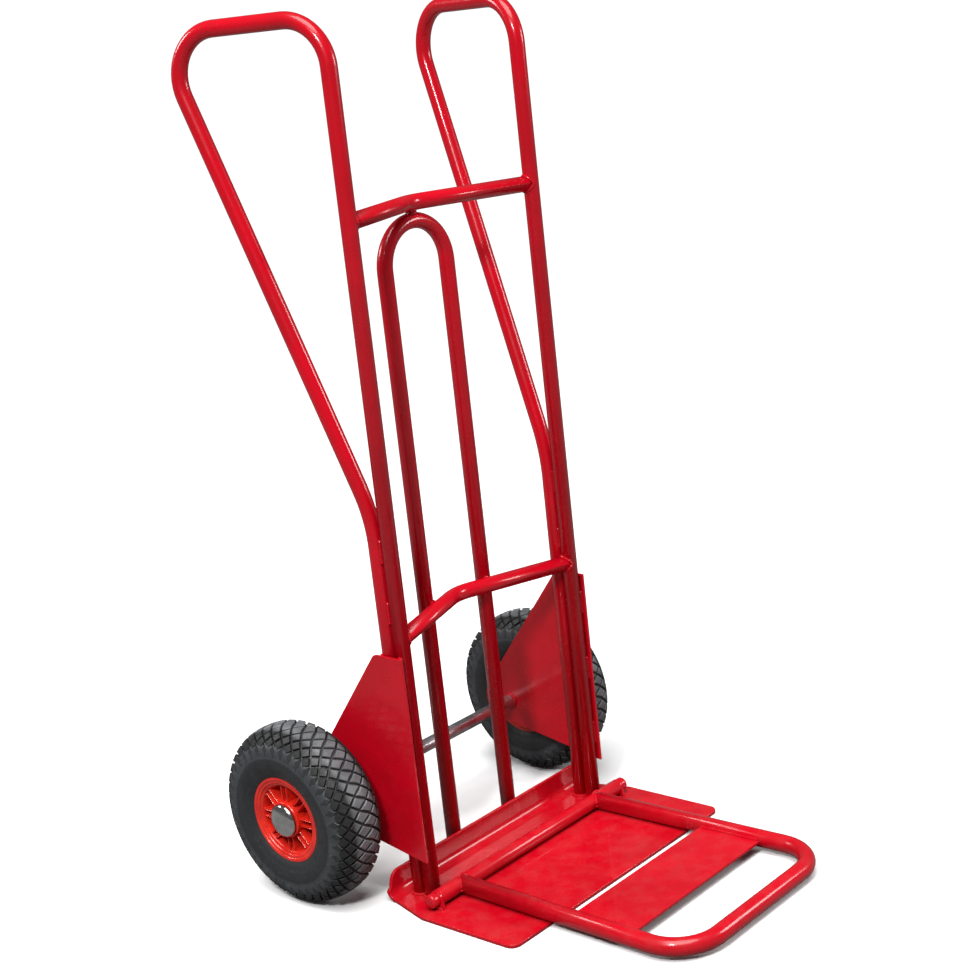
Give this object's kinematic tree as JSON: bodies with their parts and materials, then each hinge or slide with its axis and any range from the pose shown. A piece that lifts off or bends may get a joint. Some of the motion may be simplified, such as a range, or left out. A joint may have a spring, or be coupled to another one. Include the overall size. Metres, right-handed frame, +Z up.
{
  "type": "hand truck",
  "caption": "Two-wheeled tubular steel hand truck with looped side handles, a fixed toe plate, a folding toe extension and pneumatic wheels.",
  "frame": {"origin": "on the floor under the toe plate, midway between the uprights and on the plane of their centrelines", "axes": "+Z up along the uprights, -Y towards the toe, +Y towards the wheels and handles, +X to the right seen from the front"},
  "size_m": [0.6086, 0.7228, 1.2086],
  "materials": {
    "red_powder_coat": "glossy powder coat",
    "red_rim_plastic": "moulded, glossy",
    "tyre_rubber": "matt moulded rubber with block tread",
    "tube_rubber": "smooth rubber",
    "zinc_steel": "zinc plated",
    "chrome_cap": "bright pressed cap",
    "black_plastic": "moulded"
  },
  "bodies": {
    "frame": {"left_side_tube": "red_powder_coat", "right_side_tube": "red_powder_coat", "upper_crossbar": "red_powder_coat", "lower_crossbar": "red_powder_coat", "centre_loop": "red_powder_coat", "toe_plate": "red_powder_coat", "left_axle_bracket": "red_powder_coat", "right_axle_bracket": "red_powder_coat", "axle": "zinc_steel", "left_axle_spacer": "zinc_steel", "right_axle_spacer": "zinc_steel", "left_hub_washer": "zinc_steel", "right_hub_washer": "zinc_steel", "left_hub_cap": "chrome_cap", "right_hub_cap": "chrome_cap", "left_hinge_lug": "red_powder_coat", "right_hinge_lug": "red_powder_coat", "hinge_rod": "red_powder_coat", "left_hinge_cap": "red_powder_coat", "right_hinge_cap": "red_powder_coat"},
    "folding_toe": {"toe_frame_tube": "red_powder_coat", "toe_strip": "red_powder_coat", "toe_hinge_tube": "red_powder_coat"},
    "left_wheel": {"left_tyre": "tyre_rubber", "left_inner_tube": "tube_rubber", "left_outer_rim_half": "red_rim_plastic", "left_inner_rim_half": "red_rim_plastic", "left_outer_bearing": "zinc_steel", "left_inner_bearing": "zinc_steel", "left_valve_stem": "tube_rubber", "left_valve_cap": "black_plastic"},
    "right_wheel": {"right_tyre": "tyre_rubber", "right_inner_tube": "tube_rubber", "right_outer_rim_half": "red_rim_plastic", "right_inner_rim_half": "red_rim_plastic", "right_outer_bearing": "zinc_steel", "right_inner_bearing": "zinc_steel", "right_valve_stem": "tube_rubber", "right_valve_cap": "black_plastic"}
  },
  "joints": [
    {"name": "toe_fold", "type": "hinge", "parent": "frame", "child": "folding_toe", "pos_m": [0, -0.029, 0.018], "axis": [-1, 0, 0], "range_deg": [0, 90]},
    {"name": "left_wheel_spin", "type": "hinge", "parent": "frame", "child": "left_wheel", "pos_m": [-0.2575, 0.1604, 0.13], "axis": [1, 0, 0], "continuous": true},
    {"name": "right_wheel_spin", "type": "hinge", "parent": "frame", "child": "right_wheel", "pos_m": [0.2575, 0.1604, 0.13], "axis": [1, 0, 0], "continuous": true}
  ]
}
